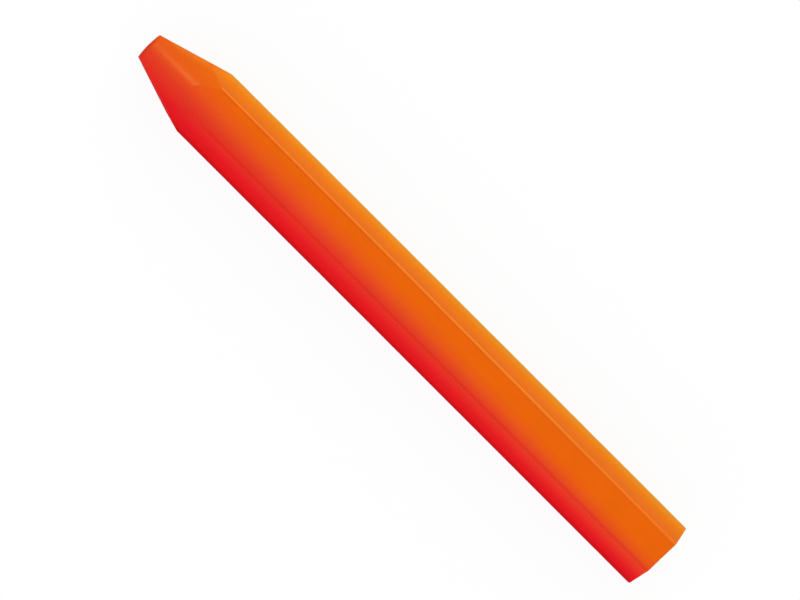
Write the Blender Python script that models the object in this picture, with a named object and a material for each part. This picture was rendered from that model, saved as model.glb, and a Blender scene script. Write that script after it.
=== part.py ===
"""Hexagonal marking chalk: one solid stick of pigmented wax with a tapered writing tip.

The stick lies along X on one of its six flats, with the tip at +X and the middle of
its length over the origin. Units are metres and +Z is up.

The blank is a six-sided bar with rounded ridges. The taper is six cuts, one across
each ridge, that run into each other over rounded edges and end at a flat tip.
"""

import math

import bmesh
import bpy

MM = 0.001

# Stick
STICK_LENGTH = 120.0 * MM
ACROSS_FLATS = 11.5 * MM
RIDGE_RADIUS = 0.5 * MM
TAIL_RIM_RADIUS = 0.25 * MM

# Taper: its length is from the flat tip to where a cut runs out on a ridge,
# and its edges are rounded over this percentage of a cut's width on either side
TAPER_LENGTH = 13.1 * MM
TIP_WIDTH = 5.1 * MM
TIP_RIM_RADIUS = 0.2 * MM
CUT_EDGE_PERCENT = 25.0

# Facets in each rounded edge
RIDGE_STEPS = 6
CUT_EDGE_STEPS = 8
RIM_STEPS = 3

SIDES = 6
HALF_SIDE_ANGLE = math.pi / SIDES
SMOOTH_ANGLE = math.radians(35.0)
SAME_HEIGHT = 1e-7

WAX_COLOUR = (0.81, 0.12, 0.006, 1.0)
WAX_ROUGHNESS = 0.5


def clear_scene():
    """Remove every object that the scene starts with."""
    for obj in list(bpy.data.objects):
        bpy.data.objects.remove(obj, do_unlink=True)


def add_collection(name):
    """Add a collection to the scene."""
    collection = bpy.data.collections.new(name)
    bpy.context.scene.collection.children.link(collection)
    return collection


def wax_material():
    """Coloured wax, opaque and satin."""
    material = bpy.data.materials.new("pigmented_wax")
    material.use_nodes = True
    shader = material.node_tree.nodes["Principled BSDF"]
    shader.inputs["Base Color"].default_value = WAX_COLOUR
    shader.inputs["Roughness"].default_value = WAX_ROUGHNESS
    shader.inputs["Metallic"].default_value = 0.0
    material.diffuse_color = WAX_COLOUR
    return material


def corner_radius(inner_radius):
    """Distance from the axis to a sharp corner of a hexagon with this inner radius."""
    return inner_radius / math.cos(HALF_SIDE_ANGLE)


def ridge_crest_radius():
    """Distance from the stick's axis to the crest of a rounded ridge."""
    return corner_radius(ACROSS_FLATS / 2 - RIDGE_RADIUS) + RIDGE_RADIUS


def hexagon_bar(tail_radius, tip_radius, tail, tip):
    """Six-sided bar or frustum along local Z, with its corner radius and place at either end."""
    bm = bmesh.new()
    bmesh.ops.create_cone(
        bm,
        cap_ends=True,
        segments=SIDES,
        radius1=tail_radius,
        radius2=tip_radius,
        depth=tip - tail,
    )
    bmesh.ops.translate(bm, verts=bm.verts, vec=(0.0, 0.0, (tip + tail) / 2))
    return bm


def long_edges(bm):
    """Edges that run from one end of a bar to the other."""
    return [edge for edge in bm.edges if not lies_at(edge, edge.verts[0].co.z)]


def end_edges(bm, height):
    """Edges around the end face at this height along a bar."""
    return [edge for edge in bm.edges if lies_at(edge, height)]


def lies_at(edge, height):
    """True if both ends of the edge lie at this height along a bar."""
    return all(math.isclose(vert.co.z, height, abs_tol=SAME_HEIGHT) for vert in edge.verts)


def round_edges(bm, edges, offset, steps, offset_type="OFFSET"):
    """Round the given edges with an arc of the given number of facets."""
    bmesh.ops.bevel(
        bm,
        geom=edges,
        offset=offset,
        offset_type=offset_type,
        segments=steps,
        profile=0.5,
        affect="EDGES",
        clamp_overlap=True,
    )


def add_axis(collection):
    """Empty on the stick's axis: local +Z points to the tip, and one flat faces down."""
    axis = bpy.data.objects.new("stick_axis", None)
    axis.location = (0.0, 0.0, ACROSS_FLATS / 2)
    axis.rotation_euler = (0.0, math.pi / 2, 0.0)
    collection.objects.link(axis)
    return axis


def add_object(bm, name, collection, axis):
    """Turn a bmesh into an object on the stick's axis."""
    mesh = bpy.data.meshes.new(name)
    bm.to_mesh(mesh)
    bm.free()
    obj = bpy.data.objects.new(name, mesh)
    obj.parent = axis
    collection.objects.link(obj)
    return obj


def add_taper_cutter(collection, axis):
    """Frustum that bounds what the six cuts leave, from the flat tip to a width past the tail."""
    tip = STICK_LENGTH / 2
    tail = -STICK_LENGTH / 2 - ACROSS_FLATS
    tip_radius = TIP_WIDTH / 2
    slope = (ridge_crest_radius() - tip_radius) / TAPER_LENGTH
    tail_radius = tip_radius + slope * (tip - tail)

    bm = hexagon_bar(corner_radius(tail_radius), corner_radius(tip_radius), tail, tip)
    round_edges(bm, long_edges(bm), CUT_EDGE_PERCENT, CUT_EDGE_STEPS, offset_type="PERCENT")
    round_edges(bm, end_edges(bm, tip), TIP_RIM_RADIUS, RIM_STEPS)

    cutter = add_object(bm, "taper_cutter", collection, axis)
    cutter.rotation_euler = (0.0, 0.0, HALF_SIDE_ANGLE)
    cutter.hide_render = True
    cutter.display_type = "WIRE"
    return cutter


def add_chalk_stick(collection, axis, cutter):
    """The stick: a blank a width too long, with rounded ridges and tail rim, that the cutter tapers."""
    tip = STICK_LENGTH / 2 + ACROSS_FLATS
    tail = -STICK_LENGTH / 2
    radius = corner_radius(ACROSS_FLATS / 2)

    bm = hexagon_bar(radius, radius, tail, tip)
    round_edges(bm, long_edges(bm), RIDGE_RADIUS * math.tan(HALF_SIDE_ANGLE), RIDGE_STEPS)
    round_edges(bm, end_edges(bm, tail), TAIL_RIM_RADIUS, RIM_STEPS)

    stick = add_object(bm, "chalk_stick", collection, axis)
    stick.data.materials.append(wax_material())
    stick.data.shade_smooth()
    stick.data.set_sharp_from_angle(angle=SMOOTH_ANGLE)

    taper = stick.modifiers.new("taper", "BOOLEAN")
    taper.operation = "INTERSECT"
    taper.solver = "EXACT"
    taper.object = cutter


def main():
    """Build the marking chalk."""
    clear_scene()
    parts = add_collection("marking_chalk")
    cutters = add_collection("marking_chalk_cutters")
    axis = add_axis(parts)
    cutter = add_taper_cutter(cutters, axis)
    add_chalk_stick(parts, axis, cutter)


main()
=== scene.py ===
"""Marking chalk: the finished look of a hexagonal wax stick, with its stage, light and camera.

The stick is one moulded piece, so one fine mesh takes the place of its plain solid. Its
section is a hexagon with rounded ridges, drawn out along X. Six soft cuts taper it to a flat
writing end, and then it is worn: flats that sank as the wax cooled, slow waves, rubbed ridges
and a sawn tail.
Lengths are in metres and +Z is up. The stick lies along X with its tip at +X.
"""

from __future__ import annotations

import logging
import math
from dataclasses import dataclass
from enum import Enum

import bmesh
import bpy
from mathutils import Matrix, Vector, noise

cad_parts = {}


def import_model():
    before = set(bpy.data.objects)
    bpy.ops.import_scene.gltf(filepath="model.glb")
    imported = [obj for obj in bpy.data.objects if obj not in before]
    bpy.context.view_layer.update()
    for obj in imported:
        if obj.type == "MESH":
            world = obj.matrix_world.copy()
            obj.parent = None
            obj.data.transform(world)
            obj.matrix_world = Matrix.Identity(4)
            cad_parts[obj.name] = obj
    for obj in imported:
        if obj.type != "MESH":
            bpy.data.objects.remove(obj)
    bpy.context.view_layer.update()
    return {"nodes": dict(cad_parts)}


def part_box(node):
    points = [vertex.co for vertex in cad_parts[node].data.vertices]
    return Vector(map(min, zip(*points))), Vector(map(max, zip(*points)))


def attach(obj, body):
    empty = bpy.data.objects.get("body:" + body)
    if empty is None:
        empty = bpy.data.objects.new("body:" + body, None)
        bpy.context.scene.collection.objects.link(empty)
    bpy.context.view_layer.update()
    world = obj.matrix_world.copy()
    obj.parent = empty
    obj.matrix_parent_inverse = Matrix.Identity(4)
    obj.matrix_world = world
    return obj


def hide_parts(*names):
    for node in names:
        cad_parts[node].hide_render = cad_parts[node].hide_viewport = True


LOG = logging.getLogger("marking_chalk")

MM = 0.001
SIDES = 6
SIDE_ANGLE = 2 * math.pi / SIDES
HALF_SIDE_ANGLE = SIDE_ANGLE / 2

CAD_NODE = "chalk_stick"
BODY = "root"

# Offset in the noise between one ridge and the next, so that no two wear alike
RIDGE_SEED = 7.3

# Middle of a noise texture's values, and how far they usually lie from it
NOISE_MIDDLE = 0.5
NOISE_REACH = 0.2

Colour = tuple[float, float, float, float]


class Surface(Enum):
    """How a stretch of the stick's surface was made. The value is its material's index."""

    MOULDED = 0
    WRITING_END = 1
    SAWN_TAIL = 2


class Mark(Enum):
    """A mask for painted highlights and shade, or for the cuts that place them. The value names the
    attribute that keeps it at the mesh's vertices.
    """

    PAINTED_RIDGE_HIGHLIGHT = "rubbed_ridge"
    HIGHLIGHT_SHADE_BORDER = "rub_border"
    DARK_CREST = "dark_crest"
    PAINTED_SIDE_EDGE = "dull_side"
    CUT_FACE = "cut_face"
    CUT_BORDER = "cut_border"
    PAINTED_TAPER_HIGHLIGHT = "taper_stripe"
    PAINTED_UNDERSIDE_SHADE = "soiled"


def linear(hex_colour: str) -> Colour:
    """Turn an sRGB hex colour into linear values for a shader socket.

    Args:
        hex_colour: a hash sign and six hex digits.

    Returns:
        Red, green, blue and an alpha of 1.
    """
    channels = [int(hex_colour[start : start + 2], 16) / 255 for start in (1, 3, 5)]
    red, green, blue = [c / 12.92 if c <= 0.04045 else ((c + 0.055) / 1.055) ** 2.4 for c in channels]
    return red, green, blue, 1.0


def add_node(
    tree: bpy.types.NodeTree,
    kind: str,
    settings: dict[str, object] | None = None,
    inputs: dict[str | int, object] | None = None,
    stops: list[tuple[float, Colour]] | None = None,
) -> bpy.types.Node:
    """Add a node, set its properties, and give its sockets values or links.

    Args:
        tree: node tree that takes the node.
        kind: the node's type name.
        settings: property names and their values.
        inputs: socket names or indices, each with a value or an output socket to link.
        stops: for a colour ramp, rising positions from 0 to 1 with their colours.

    Returns:
        The new node.
    """
    node = tree.nodes.new(kind)
    for name, value in (settings or {}).items():
        setattr(node, name, value)
    for key, value in (inputs or {}).items():
        if isinstance(value, bpy.types.NodeSocket):
            tree.links.new(value, node.inputs[key])
        else:
            node.inputs[key].default_value = value
    if stops:
        ramp = node.color_ramp
        ramp.elements.remove(ramp.elements[-1])
        ramp.elements[0].position, ramp.elements[0].color = stops[0]
        for position, colour in stops[1:]:
            ramp.elements.new(position).color = colour
    return node


def soft_least(first: float, second: float, reach: float) -> float:
    """The lesser of two values, blended where they are close.

    Args:
        first: one value.
        second: the other value.
        reach: difference below which the two blend.

    Returns:
        The blended value, never more than either.
    """
    share = clamp(0.5 + 0.5 * (second - first) / reach)
    return second + (first - second) * share - reach * share * (1 - share)


def clamp(value: float) -> float:
    """The value, held between 0 and 1."""
    return min(1.0, max(0.0, value))


def mix(first: float, second: float, share: float) -> float:
    """A value between two others, with the given share of the second."""
    return first + (second - first) * share


def bell(value: float, width: float) -> float:
    """A bump of height 1 at zero that fades out over the given width."""
    return math.exp(-((value / width) ** 2))


def unit_noise(place: Vector) -> float:
    """Smooth noise at a place, from 0 to 1."""
    return 0.5 + 0.5 * noise.noise(place)


def off_flat(angle: float) -> float:
    """Angle from the middle of the nearest flat, from 0 to half a side's angle."""
    return abs((angle + HALF_SIDE_ANGLE) % SIDE_ANGLE - HALF_SIDE_ANGLE)


def rounded_hexagon(inner: float, corner: float, angle: float) -> float:
    """Distance from the axis to the outline of a hexagon with rounded corners.

    Args:
        inner: distance from the axis to a flat.
        corner: radius of the rounded corners.
        angle: direction, from the middle of a flat.

    Returns:
        Distance from the axis to the outline in that direction.
    """
    off = off_flat(angle)
    tangent = math.atan((inner - corner) * math.tan(HALF_SIDE_ANGLE) / inner)
    if off <= tangent:
        return inner / math.cos(off)
    centre = (inner - corner) / math.cos(HALF_SIDE_ANGLE)
    off_corner = HALF_SIDE_ANGLE - off
    return centre * math.cos(off_corner) + math.sqrt(corner**2 - (centre * math.sin(off_corner)) ** 2)


@dataclass
class ChalkStick:
    """The solid stick of pigmented wax, from its sawn tail to its writing tip.

    Attributes:
        tail: place of the tail's face on X.
        tip: place of the writing end on X.
        across_flats: width between opposite flats.
        across_ridges: width between the crests of opposite ridges.
        ridge_radius: radius of the six ridges.
        taper_length: from the writing end to where a cut runs out on a ridge.
        shoulder_margin: distance before the taper from which the mesh's rings lie closer.
        tip_width: width of the writing end between opposite cuts.
        cut_edge_share: radius between two cuts, as a share of a cut's distance from the axis.
        cut_blend: reach of the soft edge where a cut meets the bar.
        border_width: depth of cut over which colours run together where a cut meets the bar.
        crest_line_width: width over which the painted highlight and the painted shade show beside the
            crest of a ridge.
        highlight_drift: how far the painted ridge highlight lies off the crest, at the tail and at the
            tip.
        rub_border: distance from the middle of the painted ridge highlight to the painted shade line on
            one side of it.
        highlight_at_tail: strength of the painted ridge highlight at the tail.
        highlight_rise: distance from the tail over which the painted ridge highlight gains its full
            strength.
        crest_rise: height of a ridge above the cuts at which its painted crest shade is whole.
        side_edge_fade: distance below the axis over which the painted shade and highlight of the two
            side ridges fade out.
        stripe_place: place on Y of the painted highlight along the taper's upper side.
        stripe_width: width over which that stripe fades out.
        stripe_at_tip: strength of the stripe at the tip.
        stripe_rise: distance from the tip over which the stripe gains its full strength.
        side_start: sine of the angle off the upper flat from which a cut counts as facing a side.
        underside_shade_reach: height over which the painted shade on the side cuts fades out.
        tip_lean: how far the tip lies to one side of the axis.
        tail_skew: angle by which the saw ran off square across the tail.
        saw_drag: length at the tail over which the skewed cut drew the wax along.
        saw_depth: depth of the marks that the saw left in the tail's face.
        saw_pitch: usual distance between those marks.
        saw_run: usual length of one mark.
        tail_rim: radius of the tail's rim.
        tip_rim: radius of the writing end's rim.
        crumble_depth: depth of the bites that the saw broke out of the tail's rim.
        crumble_size: usual length of a bite.
        crumble_reach: distance from the tail over which the bites fade out.
        flat_sink: depth to which the middle of a flat sank in cooling.
        wave_depth: depth of the slow waves in the moulded surface.
        wave_length: size of those waves.
        nick_depth: depth of the worn places along the ridges.
        nick_length: usual length of a worn place.
        end_hollow: depth to which the middle of either end lies back.
        mark_fade: power of its distance from the axis by which a mark fades across an end.
        flat_steps: mesh steps across a flat.
        ridge_steps: mesh steps round a ridge.
        rim_steps: mesh steps round a rim.
        body_step: distance between rings on the bar.
        taper_step: distance between rings on the taper.
        end_steps: mesh steps from the rim to the middle of either end.
    """

    tail: float
    tip: float
    across_flats: float
    across_ridges: float
    ridge_radius: float = 0.5 * MM
    taper_length: float = 13.1 * MM
    shoulder_margin: float = 1.0 * MM
    tip_width: float = 5.1 * MM
    cut_edge_share: float = 0.5
    cut_blend: float = 0.08 * MM
    border_width: float = 0.25 * MM
    crest_line_width: float = 0.19 * MM
    highlight_drift: tuple[float, float] = (-0.08 * MM, 0.34 * MM)
    rub_border: float = 0.36 * MM
    highlight_at_tail: float = 0.55
    highlight_rise: float = 35.0 * MM
    crest_rise: float = 1.1 * MM
    side_edge_fade: float = 0.7 * MM
    stripe_place: float = -0.75 * MM
    stripe_width: float = 0.45 * MM
    stripe_at_tip: float = 0.35
    stripe_rise: float = 7.0 * MM
    side_start: float = 0.85
    underside_shade_reach: float = 2.875 * MM
    tip_lean: float = 0.17 * MM
    tail_skew: float = math.radians(1.8)
    saw_drag: float = 4.0 * MM
    saw_depth: float = 0.08 * MM
    saw_pitch: float = 0.6 * MM
    saw_run: float = 12.0 * MM
    tail_rim: float = 0.25 * MM
    tip_rim: float = 0.2 * MM
    crumble_depth: float = 0.1 * MM
    crumble_size: float = 1.2 * MM
    crumble_reach: float = 0.5 * MM
    flat_sink: float = 0.03 * MM
    wave_depth: float = 0.012 * MM
    wave_length: float = 9.0 * MM
    nick_depth: float = 0.03 * MM
    nick_length: float = 3.0 * MM
    end_hollow: float = 0.05 * MM
    mark_fade: float = 8.0
    flat_steps: int = 28
    ridge_steps: int = 8
    rim_steps: int = 4
    body_step: float = 0.5 * MM
    taper_step: float = 0.15 * MM
    end_steps: int = 16

    @classmethod
    def from_frame(cls, node: str) -> ChalkStick:
        """Take the stick's main sizes from its CAD node.

        Args:
            node: name of the node.

        Returns:
            A stick that fills the node's box.
        """
        low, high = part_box(node)
        size = high - low
        return cls(tail=low.x, tip=high.x, across_flats=size.z, across_ridges=size.y)

    @property
    def inner(self) -> float:
        """Distance from the axis to a flat, which is also the axis's height."""
        return self.across_flats / 2

    @property
    def crest(self) -> float:
        """Distance from the axis to the crest of a ridge."""
        return self.across_ridges / 2

    @property
    def middle(self) -> Vector:
        """Point halfway along the stick's axis."""
        return Vector(((self.tail + self.tip) / 2, 0.0, self.inner))

    def build(self) -> bpy.types.Object:
        """Draw the stick out of its section, cut the taper, close the ends and wear it.

        Returns:
            The stick's object, at the origin.
        """
        bm = bmesh.new()
        bar_start = self.tail + self.tail_rim
        shoulder = self.tip - self.taper_length - self.shoulder_margin
        taper_end = self.tip - self.tip_rim

        tail_ring = self.lay_section(bm, bar_start)
        shoulder_ring = self.draw_out(bm, tail_ring, shoulder - bar_start, self.body_step)
        tip_ring = self.draw_out(bm, shoulder_ring, taper_end - shoulder, self.taper_step)
        self.cut_taper(bm)
        self.close_end(bm, tail_ring, -self.tail_rim, Surface.SAWN_TAIL)
        self.close_end(bm, tip_ring, self.tip_rim, Surface.WRITING_END)
        self.wear(bm)
        bmesh.ops.recalc_face_normals(bm, faces=bm.faces[:])
        self.order_faces(bm)

        mesh = bpy.data.meshes.new("marking_chalk_stick")
        bm.to_mesh(mesh)
        bm.free()
        mesh.shade_smooth()
        stick = bpy.data.objects.new("marking_chalk_stick", mesh)
        bpy.context.scene.collection.objects.link(stick)
        return stick

    def lay_section(self, bm: bmesh.types.BMesh, along: float) -> list[bmesh.types.BMEdge]:
        """Lay out the bar's section, square to X.

        Args:
            bm: empty mesh.
            along: place on X.

        Returns:
            Edges of a hexagon with rounded ridges and finely divided flats.
        """
        upright = Matrix.Rotation(-math.pi / 2, 4, "Y")
        place = Matrix.Translation((along, 0.0, self.inner)) @ upright
        corner = self.inner / math.cos(HALF_SIDE_ANGLE)
        bmesh.ops.create_circle(bm, cap_ends=True, segments=SIDES, radius=corner, matrix=place)
        bmesh.ops.bevel(
            bm,
            geom=bm.verts[:],
            offset=self.ridge_radius * math.tan(HALF_SIDE_ANGLE),
            offset_type="OFFSET",
            affect="VERTICES",
            segments=self.ridge_steps,
            profile=0.5,
            material=-1,
        )
        flats = [edge for edge in bm.edges if edge.calc_length() > self.ridge_radius]
        bmesh.ops.subdivide_edges(bm, edges=flats, cuts=self.flat_steps - 1)
        bmesh.ops.delete(bm, geom=bm.faces[:], context="FACES_ONLY")
        return bm.edges[:]

    @staticmethod
    def draw_out(
        bm: bmesh.types.BMesh, ring: list[bmesh.types.BMEdge], length: float, step: float
    ) -> list[bmesh.types.BMEdge]:
        """Draw a ring out along X in even steps.

        Args:
            bm: mesh that holds the ring.
            ring: edges to draw out.
            length: how far to draw them.
            step: about how far apart the new rings lie.

        Returns:
            Edges of the last ring.
        """
        steps = math.ceil(length / step)
        drawn = bmesh.ops.spin(
            bm,
            geom=ring + list(dict.fromkeys(vert for edge in ring for vert in edge.verts)),
            axis=(1.0, 0.0, 0.0),
            dvec=(length / steps, 0.0, 0.0),
            angle=0.0,
            steps=steps,
            use_merge=False,
        )
        return [item for item in drawn["geom_last"] if isinstance(item, bmesh.types.BMEdge)]

    def cut_radius(self, along: float, angle: float) -> float:
        """Distance from the axis to the six cuts, which lie across the ridges.

        Args:
            along: place on X.
            angle: direction from the axis, from the upper flat's middle.

        Returns:
            Distance to the cuts or to the rounded edges between them.
        """
        slope = (self.crest - self.tip_width / 2) / self.taper_length
        inner = self.tip_width / 2 + slope * (self.tip - along)
        return rounded_hexagon(inner, self.cut_edge_share * inner, angle + HALF_SIDE_ANGLE)

    def polar(self, vert: bmesh.types.BMVert) -> tuple[float, float]:
        """A vertex's direction from the axis, from the upper flat's middle, and its distance."""
        across, above = vert.co.y, vert.co.z - self.inner
        return math.atan2(across, above), math.hypot(across, above)

    def set_radius(self, vert: bmesh.types.BMVert, angle: float, radius: float) -> None:
        """Move a vertex to a distance from the axis."""
        vert.co.y = radius * math.sin(angle)
        vert.co.z = self.inner + radius * math.cos(angle)

    def cut_taper(self, bm: bmesh.types.BMesh) -> None:
        """Draw the bar in to the six cuts, over a soft edge, and store the masks of the painted
        highlights and shade.

        Args:
            bm: the drawn-out bar, open at both ends.
        """
        layers = {mark: bm.verts.layers.float.new(mark.value) for mark in Mark}
        for vert in bm.verts:
            angle, bar = self.polar(vert)
            cut = self.cut_radius(vert.co.x, angle)
            self.set_radius(vert, angle, soft_least(bar, cut, self.cut_blend))
            for mark, strength in self.marks_at(vert.co, angle, bar - cut).items():
                vert[layers[mark]] = strength

    def marks_at(self, place: Vector, angle: float, depth: float) -> dict[Mark, float]:
        """How strongly each mark shows at a point.

        Args:
            place: the point, after cutting.
            angle: its direction from the axis, from the upper flat's middle.
            depth: how much the cuts took off there, negative where they took nothing.

        Returns:
            Strength of each mark, from 0 to 1.
        """
        ridge = (math.floor(angle / SIDE_ANGLE) + 0.5) * SIDE_ANGLE
        beside = (angle - ridge) * self.crest
        from_tail = place.x - self.tail
        from_tip = self.tip - place.x
        off_crest = mix(*self.highlight_drift, from_tail / (self.tip - self.tail))
        highlight_share = mix(self.highlight_at_tail, 1.0, clamp(from_tail / self.highlight_rise))
        stripe_share = mix(self.stripe_at_tip, 1.0, clamp(from_tip / self.stripe_rise))
        on_cut = clamp(depth / self.cut_blend)
        above = float(place.z > self.inner)
        # The two ridges at the stick's sides get the painted side edge instead of the painted ridge
        # highlight and the painted crest shade
        off_side = float(abs(math.sin(ridge)) < math.sin(SIDE_ANGLE))
        at_side = clamp((abs(math.sin(angle)) - self.side_start) / (1 - self.side_start))
        # rubbed holds the painted ridge highlight, darkened the painted crest shade, striped the painted
        # taper highlight
        rubbed = off_side * (1 - on_cut) * highlight_share
        darkened = off_side * clamp(-depth / self.crest_rise)
        striped = above * on_cut * stripe_share
        return {
            Mark.PAINTED_RIDGE_HIGHLIGHT: rubbed * bell(beside + off_crest, self.crest_line_width),
            Mark.HIGHLIGHT_SHADE_BORDER: rubbed * bell(beside + off_crest - self.rub_border, self.crest_line_width),
            Mark.DARK_CREST: darkened * bell(beside, self.crest_line_width),
            Mark.PAINTED_SIDE_EDGE: clamp(1 + (place.z - self.inner) / self.side_edge_fade),
            Mark.CUT_FACE: on_cut,
            Mark.CUT_BORDER: bell(depth, self.border_width),
            Mark.PAINTED_TAPER_HIGHLIGHT: striped * bell(place.y - self.stripe_place, self.stripe_width),
            Mark.PAINTED_UNDERSIDE_SHADE: on_cut * at_side * self.underside_shade_at(place, self.underside_shade_reach),
        }

    def underside_shade_at(self, place: Vector, reach: float) -> float:
        """Strength of the painted shade at a point, darker towards the bottom: none half the reach above
        the axis, full as far below.
        """
        return clamp(0.5 - (place.z - self.inner) / reach)

    def end_rings(
        self, reach: float, width: float, surface: Surface
    ) -> list[tuple[float, float, Surface]]:
        """Plan the rings that round an end's rim and then close in on its middle.

        Args:
            reach: how far beyond the open ring the end's face lies on X, also the rim's radius.
            width: distance from the axis to the furthest point of the open ring.
            surface: how the end's face was made.

        Returns:
            For each ring, its place beyond the open one, its share of that one's width, and its surface.
        """
        rim_share = 1 - abs(reach) / width
        turns = [math.pi / 2 * step / self.rim_steps for step in range(1, self.rim_steps + 1)]
        rim = [
            (reach * math.sin(turn), mix(1.0, rim_share, 1 - math.cos(turn)), Surface.MOULDED)
            for turn in turns
        ]
        hollow = math.copysign(self.end_hollow, reach)
        shares = [1 - step / self.end_steps for step in range(1, self.end_steps)]
        face = [(reach - hollow * (1 - share**2), rim_share * share, surface) for share in shares]
        return rim + face

    def close_end(
        self, bm: bmesh.types.BMesh, ring: list[bmesh.types.BMEdge], reach: float, surface: Surface
    ) -> None:
        """Round an end's rim and close its face with shrinking rings.

        Args:
            bm: mesh with an open end.
            ring: edges of that end.
            reach: how far beyond the ring the end's face lies on X.
            surface: how the end's face was made.
        """
        layers = [bm.verts.layers.float[mark.value] for mark in Mark]
        soiled = bm.verts.layers.float[Mark.PAINTED_UNDERSIDE_SHADE.value]
        to_axis = Matrix.Translation((0.0, 0.0, -self.inner))
        width = max(self.polar(vert)[1] for edge in ring for vert in edge.verts)
        last_beyond, last_share = 0.0, 1.0
        for beyond, share, ring_surface in self.end_rings(reach, width, surface):
            made = bmesh.ops.extrude_edge_only(bm, edges=ring)["geom"]
            verts = [item for item in made if isinstance(item, bmesh.types.BMVert)]
            shrink = share / last_share
            bmesh.ops.translate(bm, verts=verts, vec=(beyond - last_beyond, 0.0, 0.0))
            bmesh.ops.scale(bm, verts=verts, vec=(1.0, shrink, shrink), space=to_axis)
            for vert in verts:
                for layer in layers:
                    vert[layer] *= share**self.mark_fade
                # Painted shade: the writing end darker towards its bottom
                if surface is Surface.WRITING_END:
                    vert[soiled] = self.underside_shade_at(vert.co, width)
            for item in made:
                if isinstance(item, bmesh.types.BMFace):
                    item.material_index = ring_surface.value
            edges = [item for item in made if isinstance(item, bmesh.types.BMEdge)]
            ring = [edge for edge in edges if edge.is_boundary]
            last_beyond, last_share = beyond, share
        cap = bmesh.ops.edgeloop_fill(bm, edges=ring, mat_nr=surface.value)
        bmesh.ops.poke(bm, faces=cap["faces"])

    def wear(self, bm: bmesh.types.BMesh) -> None:
        """Sink the flats, wave the surface, wear the ridges, and skew the tail and the tip.

        Args:
            bm: the closed stick.
        """
        shoulder = self.tip - self.taper_length
        for vert in bm.verts:
            angle, radius = self.polar(vert)
            self.set_radius(vert, angle, radius - self.worn_depth(vert.co, angle, radius))
            sawn = vert.co.x + self.sawn_shift(vert.co)
            vert.co.y -= self.tip_lean * clamp((vert.co.x - shoulder) / self.taper_length)
            vert.co.x = min(self.tip, max(self.tail, sawn))

    def worn_depth(self, place: Vector, angle: float, radius: float) -> float:
        """How much cooling, handling and the saw took off the surface at a point.

        Args:
            place: the point.
            angle: its direction from the axis, from the upper flat's middle.
            radius: its distance from the axis.

        Returns:
            Depth of the sunk flats, waves, worn ridges and crumbled rim, less towards the axis.
        """
        off = off_flat(angle)
        across = math.tan(off) / math.tan(HALF_SIDE_ANGLE)
        sink = self.flat_sink * (1 - across**2)
        waves = self.wave_depth * unit_noise(place / self.wave_length)
        on_ridge = bell((HALF_SIDE_ANGLE - off) * self.crest, self.ridge_radius)
        seed = RIDGE_SEED * math.floor(angle / SIDE_ANGLE)
        patch = noise.noise(Vector((place.x / self.nick_length, seed, 0.0)))
        nick = self.nick_depth * on_ridge * clamp(patch)
        at_rim = bell(place.x - self.tail, self.crumble_reach)
        bite = self.crumble_depth * at_rim * clamp(noise.noise(place / self.crumble_size))
        fullness = radius * math.cos(off) / self.inner
        return fullness * (sink + waves + nick + bite)

    def sawn_shift(self, place: Vector) -> float:
        """How far the saw's marks and its run off square move a point at the tail.

        Args:
            place: the point, after the rest of the wear.

        Returns:
            The shift on X, towards the tip.
        """
        from_tail = place.x - self.tail
        stroke = unit_noise(Vector((place.y / self.saw_pitch, place.z / self.saw_run, 0.0)))
        groove = self.saw_depth * clamp(1 - from_tail / self.tail_rim) * stroke
        dragged = clamp(1 - from_tail / self.saw_drag)
        return groove + dragged * math.tan(self.tail_skew) * (place.y + self.crest)

    @staticmethod
    def order_faces(bm: bmesh.types.BMesh) -> None:
        """Sort the faces by their vertices, because spin and extrude give them no fixed order.

        Args:
            bm: the finished stick.
        """
        bm.verts.index_update()
        count = len(bm.verts)

        def rank(face: bmesh.types.BMFace) -> int:
            """A number that grows with the face's three lowest vertex indices."""
            first, second, third = sorted(vert.index for vert in face.verts)[:3]
            return (first * count + second) * count + third

        bm.faces.sort(key=rank)

    @staticmethod
    def dress(stick: bpy.types.Object, finishes: dict[Surface, WaxFinish], pigment: PigmentAndPaintedLight) -> None:
        """Give each surface its material and tie the stick to its CAD body.

        Args:
            stick: the stick's object.
            finishes: finish of each kind of surface.
            pigment: colour of the wax, with its painted light and shade.
        """
        for surface in Surface:
            stick.data.materials.append(finishes[surface].material(pigment))
        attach(stick, BODY)
        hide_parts(CAD_NODE)


@dataclass(frozen=True)
class Tint:
    """A change of colour across the stick.

    Attributes:
        hex_colour: colour to change to.
        start: place on Y where the change starts.
        full: place on Y where it is full.
        most: share of the new colour where the change is full.
    """

    hex_colour: str
    start: float
    full: float
    most: float = 1.0

    def over(
        self,
        tree: bpy.types.NodeTree,
        base: bpy.types.NodeSocket,
        across: bpy.types.NodeSocket,
        mask: bpy.types.NodeSocket,
    ) -> bpy.types.NodeSocket:
        """Lay the tint over a colour.

        Args:
            tree: node tree that takes the nodes.
            base: colour to change.
            across: place on Y.
            mask: how strongly the tint applies, from 0 to 1.

        Returns:
            The socket of the changed colour.
        """
        side = add_node(
            tree,
            "ShaderNodeMapRange",
            inputs={
                "Value": across,
                "From Min": self.start,
                "From Max": self.full,
                "To Max": self.most,
            },
        )
        share = add_node(
            tree,
            "ShaderNodeMath",
            {"operation": "MULTIPLY"},
            {0: side.outputs[0], 1: mask},
        )
        mixed = add_node(
            tree,
            "ShaderNodeMix",
            {"data_type": "RGBA"},
            {"Factor": share.outputs[0], "A": base, "B": linear(self.hex_colour)},
        )
        return mixed.outputs["Result"]


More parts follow.
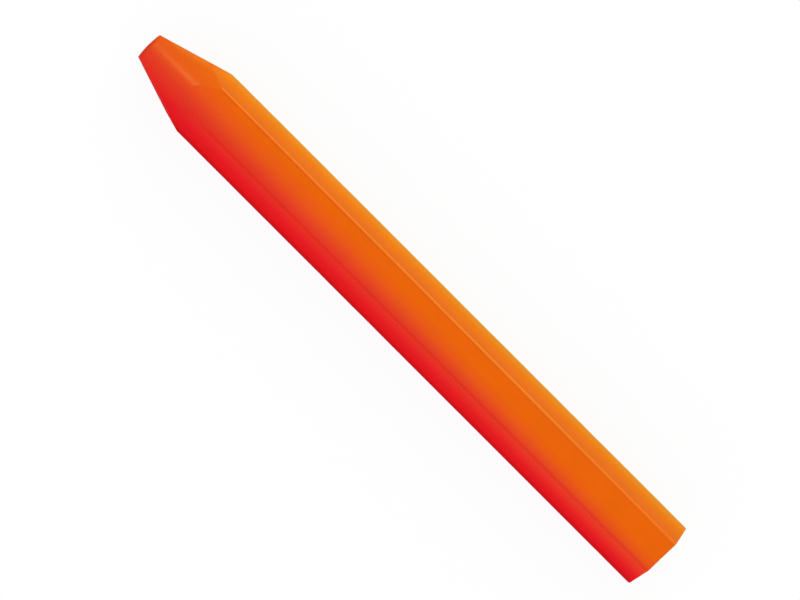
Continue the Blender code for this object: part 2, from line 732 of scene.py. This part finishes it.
@dataclass(frozen=True)
class PigmentAndPaintedLight:
    """Colour of the wax with painted light and shade: orange that darkens through vermilion to red along
    one side as painted shade, with paler amber on the other side's outer flats as painted light.

    Attributes:
        tail: X at the tail.
        tip: X at the tip.
        red_side: place on Y where the drift starts.
        width_at_tail: how far the drift runs from red to full orange, at the tail.
        width_at_tip: the same at the tip, where red reaches further across.
        taper_start: X where the drift starts to widen further, round the taper.
        taper_width: how much wider the drift is at the tip for that.
        bands: the drift's colours, each with its place from 0, red, to 1, orange.
        lit_facing: normal on Y where a surface starts to count as a lit outer flat, and fully does.
        painted_light_flats: painted light, tints that make the outer flats on the orange side paler
            amber.
        border_share: share of those tints that is lost where a cut meets the bar.
        marks: tints of the painted highlights and shade, each with its mask.
    """

    tail: float
    tip: float
    red_side: float = 6.0 * MM
    width_at_tail: float = 5.1 * MM
    width_at_tip: float = 9.3 * MM
    taper_start: float = 42.0 * MM
    taper_width: float = 1.8 * MM
    bands: tuple[tuple[float, str], ...] = (
        (0.0, "#DA0F17"),
        (0.16, "#E11A1F"),
        (0.44, "#E23A23"),
        (0.73, "#E85716"),
        (1.0, "#E96408"),
    )
    lit_facing: tuple[float, float] = (-0.45, -0.8)
    painted_light_flats: tuple[Tint, ...] = (
        Tint("#EC701F", -2.9 * MM, -3.1 * MM),
        Tint("#F58512", -3.6 * MM, -5.9 * MM),
        Tint("#F2931C", -5.4 * MM, -6.3 * MM),
    )
    border_share: float = 0.6
    marks: tuple[tuple[Mark, Tint], ...] = (
        # Painted shade: a dark red band at and above the crest of the +Y side ridge
        (Mark.PAINTED_SIDE_EDGE, Tint("#B80C14", 5.87 * MM, 6.5 * MM)),
        # Painted highlight: a paler amber band at and above the crest of the -Y side ridge
        (Mark.PAINTED_SIDE_EDGE, Tint("#E29830", -6.0 * MM, -6.5 * MM)),
        # Painted light: the taper's cuts on the -Y side, facing the key light, made paler
        (Mark.CUT_FACE, Tint("#F87A20", 0.5 * MM, -1.2 * MM, 0.15)),
        # Painted highlight: a pale streak along the upper side of the taper
        (Mark.PAINTED_TAPER_HIGHLIGHT, Tint("#FF8C4C", 0.8 * MM, -0.6 * MM, 0.28)),
        # Painted shade: a thin dark line beside the painted ridge highlight
        (Mark.HIGHLIGHT_SHADE_BORDER, Tint("#7A2C00", 0.5 * MM, -2.2 * MM, 0.14)),
        # Painted highlight: a lighter orange line along the ridges on the -Y side, a little off the
        # crest
        (Mark.PAINTED_RIDGE_HIGHLIGHT, Tint("#FF8C33", 0.5 * MM, -2.2 * MM, 0.95)),
        # Painted shade: a darker line along the crests of the ridges on the +Y side
        (Mark.DARK_CREST, Tint("#C01C10", 1.0 * MM, 3.0 * MM, 0.4)),
        # Painted shade, darker towards the bottom; full from beyond the orange side, so that it darkens
        # every colour alike
        (Mark.PAINTED_UNDERSIDE_SHADE, Tint("#7A1008", -8.0 * MM, -7.0 * MM, 0.3)),
    )

    def colour(self, tree: bpy.types.NodeTree) -> bpy.types.NodeSocket:
        """Build the nodes for the whole colour.

        Args:
            tree: node tree that takes them.

        Returns:
            The colour's output socket.
        """
        coordinates = add_node(tree, "ShaderNodeTexCoord")
        place = add_node(tree, "ShaderNodeSeparateXYZ", inputs={0: coordinates.outputs["Object"]})
        facing = add_node(tree, "ShaderNodeSeparateXYZ", inputs={0: coordinates.outputs["Normal"]})
        across = place.outputs["Y"]
        outer = add_node(
            tree,
            "ShaderNodeMapRange",
            {"interpolation_type": "SMOOTHSTEP"},
            {
                "Value": facing.outputs["Y"],
                "From Min": self.lit_facing[0],
                "From Max": self.lit_facing[1],
            },
        )
        border = add_node(tree, "ShaderNodeAttribute", {"attribute_name": Mark.CUT_BORDER.value})
        inside = add_node(
            tree,
            "ShaderNodeMapRange",
            inputs={"Value": border.outputs["Fac"], "To Min": 1.0, "To Max": 1 - self.border_share},
        )
        outer_flat = add_node(
            tree,
            "ShaderNodeMath",
            {"operation": "MULTIPLY"},
            {0: outer.outputs[0], 1: inside.outputs[0]},
        )
        # Painted shade: the body's orange darkens to red towards +Y
        colour = self.drift(tree, place.outputs["X"], across)
        # Painted light: the outer flats on the -Y side, which face the key light, made paler amber
        for tint in self.painted_light_flats:
            colour = tint.over(tree, colour, across, outer_flat.outputs[0])
        for mark, tint in self.marks:
            strength = add_node(tree, "ShaderNodeAttribute", {"attribute_name": mark.value})
            colour = tint.over(tree, colour, across, strength.outputs["Fac"])
        return colour

    def drift(
        self, tree: bpy.types.NodeTree, along: bpy.types.NodeSocket, across: bpy.types.NodeSocket
    ) -> bpy.types.NodeSocket:
        """Colour of the body: bands from red to orange that fan out towards the tip; the darkening to
        red is painted shade.

        Args:
            tree: node tree that takes the nodes.
            along: place on X.
            across: place on Y.

        Returns:
            The body colour's socket.
        """
        width = add_node(
            tree,
            "ShaderNodeMapRange",
            inputs={
                "Value": along,
                "From Min": self.tail,
                "From Max": self.tip,
                "To Min": self.width_at_tail,
                "To Max": self.width_at_tip,
            },
        )
        round_taper = add_node(
            tree,
            "ShaderNodeMapRange",
            inputs={
                "Value": along,
                "From Min": self.taper_start,
                "From Max": self.tip,
                "To Max": self.taper_width,
            },
        )
        full_width = add_node(
            tree,
            "ShaderNodeMath",
            {"operation": "ADD"},
            {0: width.outputs[0], 1: round_taper.outputs[0]},
        )
        from_red = add_node(
            tree,
            "ShaderNodeMath",
            {"operation": "SUBTRACT"},
            {0: self.red_side, 1: across},
        )
        share = add_node(
            tree,
            "ShaderNodeMath",
            {"operation": "DIVIDE"},
            {0: from_red.outputs[0], 1: full_width.outputs[0]},
        )
        ramp = add_node(
            tree,
            "ShaderNodeValToRGB",
            inputs={"Fac": share.outputs[0]},
            stops=[(position, linear(hex_colour)) for position, hex_colour in self.bands],
        )
        return ramp.outputs["Color"]


@dataclass(frozen=True)
class Pattern:
    """A soft, irregular pattern in the surface of the wax.

    Attributes:
        size: its size on X, Y and Z.
        tone: how far it changes the brightness.
        height: height of its relief.
        detail: how many finer layers it holds.
    """

    size: tuple[float, float, float]
    tone: float
    height: float = 0.0
    detail: float = 3.0


@dataclass(frozen=True)
class WaxFinish:
    """Hard wax loaded with chalk, clay and pigment: opaque, dense in colour and nearly matt.

    Attributes:
        name: material name.
        patterns: patterns in the surface. The first one also changes the roughness.
        paleness: brightness of the colour, above 1 where there is chalk dust in the surface.
        roughness: least and most roughness.
        specular: specular level, low because the filler breaks the surface up.
        refraction: index of refraction of paraffin wax.
        pinhole_spacing: distance between pinholes left by air in the melt.
        pinhole_radius: radius of a pinhole.
        pinhole_depth: depth of a pinhole.
    """

    name: str
    patterns: tuple[Pattern, ...]
    paleness: float = 1.0
    roughness: tuple[float, float] = (0.6, 0.75)
    specular: float = 0.03
    refraction: float = 1.44
    pinhole_spacing: float = 3.5 * MM
    pinhole_radius: float = 0.12 * MM
    pinhole_depth: float = 0.06 * MM

    def material(self, pigment: PigmentAndPaintedLight) -> bpy.types.Material:
        """Build the material.

        Args:
            pigment: colour of the wax, with its painted light and shade.

        Returns:
            The new material.
        """
        material = bpy.data.materials.new(self.name)
        material.use_nodes = True
        tree = material.node_tree
        tree.nodes.clear()
        place = add_node(tree, "ShaderNodeTexCoord").outputs["Object"]
        values = self.pattern_values(tree, place)
        roughness = add_node(
            tree,
            "ShaderNodeMapRange",
            inputs={
                "Value": values[0],
                "From Min": NOISE_MIDDLE - NOISE_REACH,
                "From Max": NOISE_MIDDLE + NOISE_REACH,
                "To Min": self.roughness[0],
                "To Max": self.roughness[1],
            },
        )
        shaded = add_node(
            tree,
            "ShaderNodeHueSaturation",
            inputs={"Color": pigment.colour(tree), "Value": self.brightness(tree, values)},
        )
        bump = add_node(
            tree,
            "ShaderNodeBump",
            inputs={"Height": self.relief(tree, place, values), "Distance": 1.0, "Strength": 1.0},
        )
        shader = add_node(
            tree,
            "ShaderNodeBsdfPrincipled",
            inputs={
                "Base Color": shaded.outputs["Color"],
                "Roughness": roughness.outputs[0],
                "IOR": self.refraction,
                "Specular IOR Level": self.specular,
                "Normal": bump.outputs[0],
            },
        )
        add_node(tree, "ShaderNodeOutputMaterial", inputs={"Surface": shader.outputs[0]})
        return material

    def pattern_values(
        self, tree: bpy.types.NodeTree, place: bpy.types.NodeSocket
    ) -> list[bpy.types.NodeSocket]:
        """Build the nodes of the patterns.

        Args:
            tree: node tree that takes the nodes.
            place: Object coordinates.

        Returns:
            The value of each pattern, which wanders about the noise's middle.
        """
        values = []
        for pattern in self.patterns:
            stretch = Vector([1 / size for size in pattern.size])
            stretched = add_node(tree, "ShaderNodeMapping", inputs={"Vector": place, "Scale": stretch})
            noise_value = add_node(
                tree,
                "ShaderNodeTexNoise",
                inputs={"Vector": stretched.outputs[0], "Scale": 1.0, "Detail": pattern.detail},
            )
            values.append(noise_value.outputs["Fac"])
        return values

    def brightness(
        self, tree: bpy.types.NodeTree, values: list[bpy.types.NodeSocket]
    ) -> bpy.types.NodeSocket:
        """Brightness of the colour: the paleness, changed a little by each pattern.

        Args:
            tree: node tree that takes the nodes.
            values: value of each pattern.

        Returns:
            The brightness's socket.
        """
        gains = [self.paleness * pattern.tone / NOISE_REACH for pattern in self.patterns]
        total = self.paleness - NOISE_MIDDLE * sum(gains)
        for value, gain in zip(values, gains):
            added = add_node(
                tree,
                "ShaderNodeMath",
                {"operation": "MULTIPLY_ADD"},
                {0: value, 1: gain, 2: total},
            )
            total = added.outputs[0]
        return total

    def relief(
        self,
        tree: bpy.types.NodeTree,
        place: bpy.types.NodeSocket,
        values: list[bpy.types.NodeSocket],
    ) -> bpy.types.NodeSocket:
        """Fine relief: pinholes and the patterns' own, added up as heights in metres.

        Args:
            tree: node tree that takes the nodes.
            place: Object coordinates.
            values: value of each pattern.

        Returns:
            The height's socket.
        """
        cells = add_node(
            tree,
            "ShaderNodeTexVoronoi",
            inputs={"Vector": place, "Scale": 1 / self.pinhole_spacing},
        )
        pinholes = add_node(
            tree,
            "ShaderNodeMapRange",
            {"interpolation_type": "SMOOTHSTEP"},
            {
                "Value": cells.outputs["Distance"],
                "From Max": self.pinhole_radius / self.pinhole_spacing,
                "To Min": -self.pinhole_depth,
                "To Max": 0.0,
            },
        )
        total = pinholes.outputs[0]
        for pattern, value in zip(self.patterns, values):
            added = add_node(
                tree,
                "ShaderNodeMath",
                {"operation": "MULTIPLY_ADD"},
                {0: value, 1: pattern.height, 2: total},
            )
            total = added.outputs[0]
        return total


@dataclass(frozen=True)
class Stage:
    """Plain white floor and surroundings.

    Attributes:
        floor_size: side of the floor.
        floor_gap: how far the floor lies under the stick.
        ambient: strength of the light from all around.
        shadow_share: share of the floor's own shading that the camera sees.
        white: colour of the floor and surroundings to the eye.
        bounce: colour of the floor to the light that it throws back on the stick.
    """

    floor_size: float = 4.0
    floor_gap: float = 0.02 * MM
    ambient: float = 0.71
    shadow_share: float = 0.08
    white: str = "#FFFFFF"
    bounce: str = "#BCBCBC"

    def build(self) -> None:
        """Make the floor and the surroundings."""
        bm = bmesh.new()
        bmesh.ops.create_grid(bm, x_segments=1, y_segments=1, size=self.floor_size / 2)
        bmesh.ops.translate(bm, verts=bm.verts, vec=(0.0, 0.0, -self.floor_gap))
        mesh = bpy.data.meshes.new("floor")
        bm.to_mesh(mesh)
        bm.free()
        floor = bpy.data.objects.new("floor", mesh)
        floor.data.materials.append(self.floor_material())
        bpy.context.scene.collection.objects.link(floor)
        self.surroundings()

    @staticmethod
    def seen(tree: bpy.types.NodeTree) -> bpy.types.NodeSocket:
        """A socket that is 1 for rays that show the surroundings, 0 for rays that light the stick."""
        path = add_node(tree, "ShaderNodeLightPath")
        direct = add_node(
            tree,
            "ShaderNodeMath",
            {"operation": "MAXIMUM"},
            {0: path.outputs["Is Camera Ray"], 1: path.outputs["Is Glossy Ray"]},
        )
        through = add_node(
            tree,
            "ShaderNodeMath",
            {"operation": "MAXIMUM"},
            {0: direct.outputs[0], 1: path.outputs["Is Transmission Ray"]},
        )
        return through.outputs[0]

    def floor_material(self) -> bpy.types.Material:
        """White paper floor that shows white, with a little of the stick's shadow.

        Returns:
            The new material.
        """
        material = bpy.data.materials.new("white_paper_floor")
        material.use_nodes = True
        tree = material.node_tree
        tree.nodes.clear()
        seen = self.seen(tree)
        shade = add_node(
            tree,
            "ShaderNodeMix",
            {"data_type": "RGBA"},
            {"Factor": seen, "A": linear(self.bounce), "B": linear(self.white)},
        )
        paper = add_node(tree, "ShaderNodeBsdfDiffuse", inputs={"Color": shade.outputs["Result"]})
        glow = add_node(
            tree,
            "ShaderNodeEmission",
            inputs={"Color": linear(self.white), "Strength": 1.0},
        )
        share = add_node(
            tree,
            "ShaderNodeMath",
            {"operation": "MULTIPLY"},
            {0: seen, 1: 1 - self.shadow_share},
        )
        mixed = add_node(
            tree,
            "ShaderNodeMixShader",
            inputs={0: share.outputs[0], 1: paper.outputs[0], 2: glow.outputs[0]},
        )
        add_node(tree, "ShaderNodeOutputMaterial", inputs={"Surface": mixed.outputs[0]})
        return material

    def surroundings(self) -> None:
        """White surroundings: full white to the eye, and a softer light on the stick."""
        world = bpy.data.worlds.new("white_surroundings")
        world.use_nodes = True
        bpy.context.scene.world = world
        tree = world.node_tree
        tree.nodes.clear()
        strength = add_node(
            tree,
            "ShaderNodeMapRange",
            inputs={"Value": self.seen(tree), "To Min": self.ambient, "To Max": 1.0},
        )
        sky = add_node(
            tree,
            "ShaderNodeBackground",
            inputs={"Color": linear(self.white), "Strength": strength.outputs[0]},
        )
        add_node(tree, "ShaderNodeOutputWorld", inputs={"Surface": sky.outputs[0]})


@dataclass(frozen=True)
class Softbox:
    """Large square lamp that points at the stick's middle.

    Attributes:
        name: the lamp's name.
        direction: where it hangs, seen from the stick.
        distance: how far away it hangs.
        size: length of its side.
        share: brightness that it gives a white surface facing it.
    """

    name: str
    direction: tuple[float, float, float]
    distance: float
    size: float
    share: float

    def build(self, target: Vector) -> None:
        """Hang the lamp.

        Args:
            target: point that the lamp faces.
        """
        lamp = bpy.data.lights.new(self.name, "AREA")
        lamp.shape = "SQUARE"
        lamp.size = self.size
        lamp.energy = self.share * (math.pi * self.distance) ** 2
        holder = bpy.data.objects.new(self.name, lamp)
        outwards = Vector(self.direction).normalized()
        holder.location = target + outwards * self.distance
        holder.rotation_euler = outwards.to_track_quat("Z", "Y").to_euler()
        bpy.context.scene.collection.objects.link(holder)


@dataclass(frozen=True)
class PhotoCamera:
    """Camera at the photograph's viewing angle, which shows no perspective.

    Attributes:
        tilt: how far the tip leans towards the viewer.
        turn: how far the upper flat is turned towards the viewer's upper right.
        pixels_per_mm: scale of the picture.
        middle_px: where the stick's middle lies in the picture, from its upper left corner.
        picture_px: width and height of the picture.
        distance: how far the camera stands back.
        sight: nearest and furthest distance that it sees.
    """

    tilt: float = math.radians(7.3)
    turn: float = math.radians(3.1)
    pixels_per_mm: float = 6.06
    middle_px: tuple[float, float] = (403.85, 302.05)
    picture_px: tuple[int, int] = (800, 600)
    distance: float = 0.6
    sight: tuple[float, float] = (0.01, 10.0)

    def build(self, target: Vector) -> None:
        """Place the camera and make it the scene's own.

        Args:
            target: the stick's middle.
        """
        pixel = MM / self.pixels_per_mm
        back = Vector(
            (
                math.sin(self.tilt),
                math.cos(self.tilt) * math.sin(self.turn),
                math.cos(self.tilt) * math.cos(self.turn),
            )
        )
        to_tip = (Vector((1.0, 0.0, 0.0)) - back * back.x).normalized()
        to_side = to_tip.cross(back)
        right = (to_side - to_tip).normalized()
        up = (to_side + to_tip).normalized()
        off_right = (self.middle_px[0] - self.picture_px[0] / 2) * pixel
        off_down = (self.middle_px[1] - self.picture_px[1] / 2) * pixel

        lens = bpy.data.cameras.new("photo_camera")
        lens.type = "ORTHO"
        lens.ortho_scale = self.picture_px[0] * pixel
        lens.clip_start, lens.clip_end = self.sight
        camera = bpy.data.objects.new("photo_camera", lens)
        turned = Matrix((right, up, back)).transposed().to_4x4()
        place = target - right * off_right + up * off_down + back * self.distance
        camera.matrix_world = Matrix.Translation(place) @ turned
        bpy.context.scene.collection.objects.link(camera)
        bpy.context.scene.camera = camera


def wax_finishes() -> dict[Surface, WaxFinish]:
    """Finish of each kind of surface.

    Returns:
        The finishes, which share the mottle and the grain of the wax.
    """
    mottle = Pattern(size=(5 * MM, 5 * MM, 5 * MM), tone=0.025, detail=4.0)
    # The chalk grains are really about 0.02 mm, drawn coarse enough to show
    grain = Pattern(size=(0.3 * MM, 0.3 * MM, 0.3 * MM), tone=0.02, height=0.002 * MM, detail=2.0)
    mould_lines = Pattern(size=(25 * MM, 0.7 * MM, 0.7 * MM), tone=0.006, height=0.006 * MM)
    smears = Pattern(size=(1 * MM, 8 * MM, 0.5 * MM), tone=0.03, height=0.006 * MM)
    saw_marks = Pattern(size=(1 * MM, 0.5 * MM, 15 * MM), tone=0.05, height=0.03 * MM)
    return {
        # Cast wax keeps the mould's even skin: nearly matt, with faint lines along the stick
        Surface.MOULDED: WaxFinish("moulded_pigmented_wax", (mottle, grain, mould_lines)),
        # Wax rubbed on rough work: dead matt, a little pale with chalk dust and smeared sideways
        Surface.WRITING_END: WaxFinish(
            "rubbed_pigmented_wax",
            (mottle, grain, smears),
            paleness=1.3,
            roughness=(0.8, 0.95),
            specular=0.02,
        ),
        # Sawn wax: matt, with upright saw marks that catch the light
        Surface.SAWN_TAIL: WaxFinish(
            "sawn_pigmented_wax",
            (mottle, grain, saw_marks),
            paleness=1.1,
            roughness=(0.75, 0.9),
            specular=0.02,
        ),
    }


def main() -> None:
    """Build the stick, its stage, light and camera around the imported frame."""
    logging.basicConfig(level=logging.INFO, format="%(name)s: %(message)s")
    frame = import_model()
    LOG.info("nodes in the frame: %d", len(frame["nodes"]))

    chalk = ChalkStick.from_frame(CAD_NODE)
    PhotoCamera().build(chalk.middle)

    pigment = PigmentAndPaintedLight(tail=chalk.tail, tip=chalk.tip)
    stick = chalk.build()
    chalk.dress(stick, wax_finishes(), pigment)
    LOG.info("%s: %d faces", stick.name, len(stick.data.polygons))

    Stage().build()
    softboxes = (
        Softbox("key_softbox", direction=(0.3, -1.0, 0.5), distance=0.6, size=0.5, share=0.4),
        Softbox("fill_softbox", direction=(0.2, 1.0, 0.4), distance=0.6, size=0.6, share=0.46),
        Softbox("tail_softbox", direction=(-1.0, 0.5, 0.2), distance=0.6, size=0.4, share=0.22),
    )
    for softbox in softboxes:
        softbox.build(chalk.middle)
    bpy.context.scene.view_settings.view_transform = "Standard"


if __name__ == "__main__":
    main()
